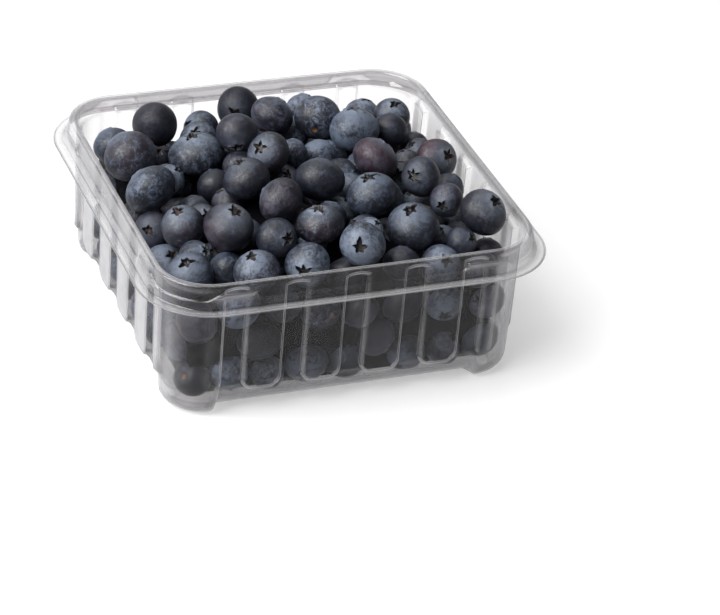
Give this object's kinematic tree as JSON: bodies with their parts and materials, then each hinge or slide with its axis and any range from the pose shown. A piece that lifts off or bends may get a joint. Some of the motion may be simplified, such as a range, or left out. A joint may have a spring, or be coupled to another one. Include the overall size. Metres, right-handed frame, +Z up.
{
  "type": "punnet of blueberries",
  "caption": "Square clear plastic tray with fluted walls and a wide stepped rim, heaped with fresh blueberries.",
  "frame": {"origin": "middle of the tray's underside, on the surface that it stands on", "axes": "+Z up, +X to the right and -Y to the front, square to the tray's walls"},
  "size_m": [0.1298, 0.1298, 0.0591],
  "materials": {
    "clear_plastic": "clear",
    "blueberry": "satin"
  },
  "bodies": {
    "root": {"tray": "clear_plastic", "berries": "blueberry"}
  },
  "joints": []
}
